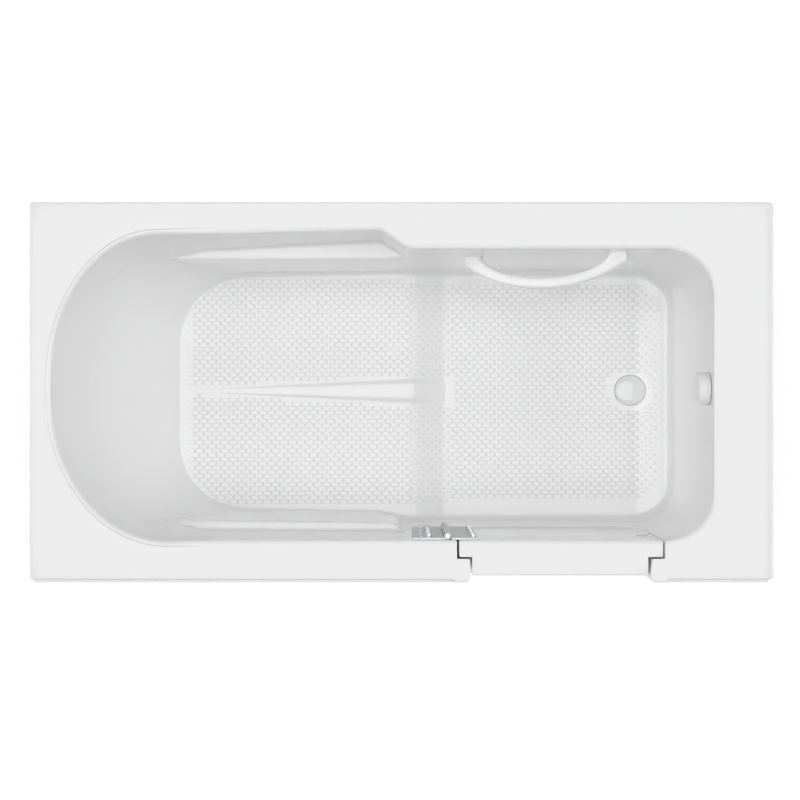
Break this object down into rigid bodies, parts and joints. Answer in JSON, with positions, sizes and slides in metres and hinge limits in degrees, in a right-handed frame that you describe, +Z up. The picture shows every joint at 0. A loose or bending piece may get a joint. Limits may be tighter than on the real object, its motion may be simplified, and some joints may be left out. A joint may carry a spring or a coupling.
{
  "type": "walk-in bathtub",
  "caption": "White alcove bathtub with a low inward-swinging door in its skirt, a moulded seat and footwell, a curved grab bar, a drain and an overflow control.",
  "frame": {"origin": "on the floor, under the middle of the tub", "axes": "+X along the tub towards the drain end, +Y from the door side towards the wall behind, +Z up"},
  "size_m": [1.524, 0.78, 0.564],
  "materials": {
    "acrylic": "moulded white acrylic, gloss",
    "white_trim": "white plastic, gloss",
    "chrome": "polished",
    "steel": "bare steel tube",
    "rubber": "black, soft",
    "grey_plastic": "satin grey pipe fittings",
    "cable_jacket": "black cable jacket",
    "board": "plain board, unfinished"
  },
  "bodies": {
    "tub": {"tub_shell": "acrylic", "door_frame": "acrylic", "front_apron": "acrylic", "apron_brackets": "steel", "apron_screws": "white_trim", "base_rails": "steel", "seat_crossbars": "steel", "footwell_crossbars": "steel", "frame_posts": "steel", "post_plates": "steel", "seat_board": "board", "footwell_board": "board", "foot_studs": "chrome", "foot_nuts": "chrome", "foot_pads": "rubber", "door_gasket": "rubber", "hinge_tub_leaf": "chrome", "hinge_tub_bolts": "chrome", "hinge_pin": "chrome", "hinge_washers": "grey_plastic", "strike_plate": "chrome", "strike_screws": "chrome", "grab_bar": "white_trim", "grab_bar_bolts": "chrome", "grab_bar_plates": "steel", "drain_body": "chrome", "drain_gasket": "rubber", "drain_shoe": "grey_plastic", "waste_arm": "grey_plastic", "waste_tee": "grey_plastic", "waste_tailpiece": "chrome", "overflow_flange": "white_trim", "overflow_gasket": "rubber", "overflow_elbow": "grey_plastic", "overflow_pipe": "grey_plastic", "slip_nuts": "grey_plastic", "control_cable": "cable_jacket"},
    "door": {"door_shell": "acrylic", "door_front_panel": "acrylic", "door_uprights": "steel", "door_panel_screws": "white_trim", "hinge_door_leaf": "chrome", "hinge_door_bolts": "chrome", "latch_case": "steel"},
    "latch_bolt": {"latch_bolt": "chrome"},
    "latch_knob": {"latch_knob": "white_trim"},
    "overflow_knob": {"overflow_knob": "white_trim"},
    "drain_stopper": {"drain_stopper": "white_trim"}
  },
  "joints": [
    {"name": "door_swing", "type": "hinge", "parent": "tub", "child": "door", "pos_m": [0.095, -0.2957, 0.413], "axis": [0, 0, 1], "range_deg": [0, 100]},
    {"name": "latch_turn", "type": "hinge", "parent": "door", "child": "latch_knob", "pos_m": [0.514, -0.303, 0.43409], "axis": [0, 1, 0], "range_deg": [0, 90.2]},
    {"name": "latch_slide", "type": "slide", "parent": "door", "child": "latch_bolt", "axis": [1, 0, 0], "range_m": [0, 0.014]},
    {"name": "overflow_turn", "type": "hinge", "parent": "tub", "child": "overflow_knob", "pos_m": [0.6391, 0.0075, 0.5], "axis": [1, 0, 0], "range_deg": [0, 90]},
    {"name": "stopper_lift", "type": "slide", "parent": "tub", "child": "drain_stopper", "axis": [0, 0, 1], "range_m": [0, 0.0101]}
  ],
  "couplings": [
    {"joint": "latch_turn", "follows": "latch_slide", "rad_per_m": 112.2},
    {"joint": "stopper_lift", "follows": "overflow_turn", "m_per_rad": 0.0063662}
  ]
}
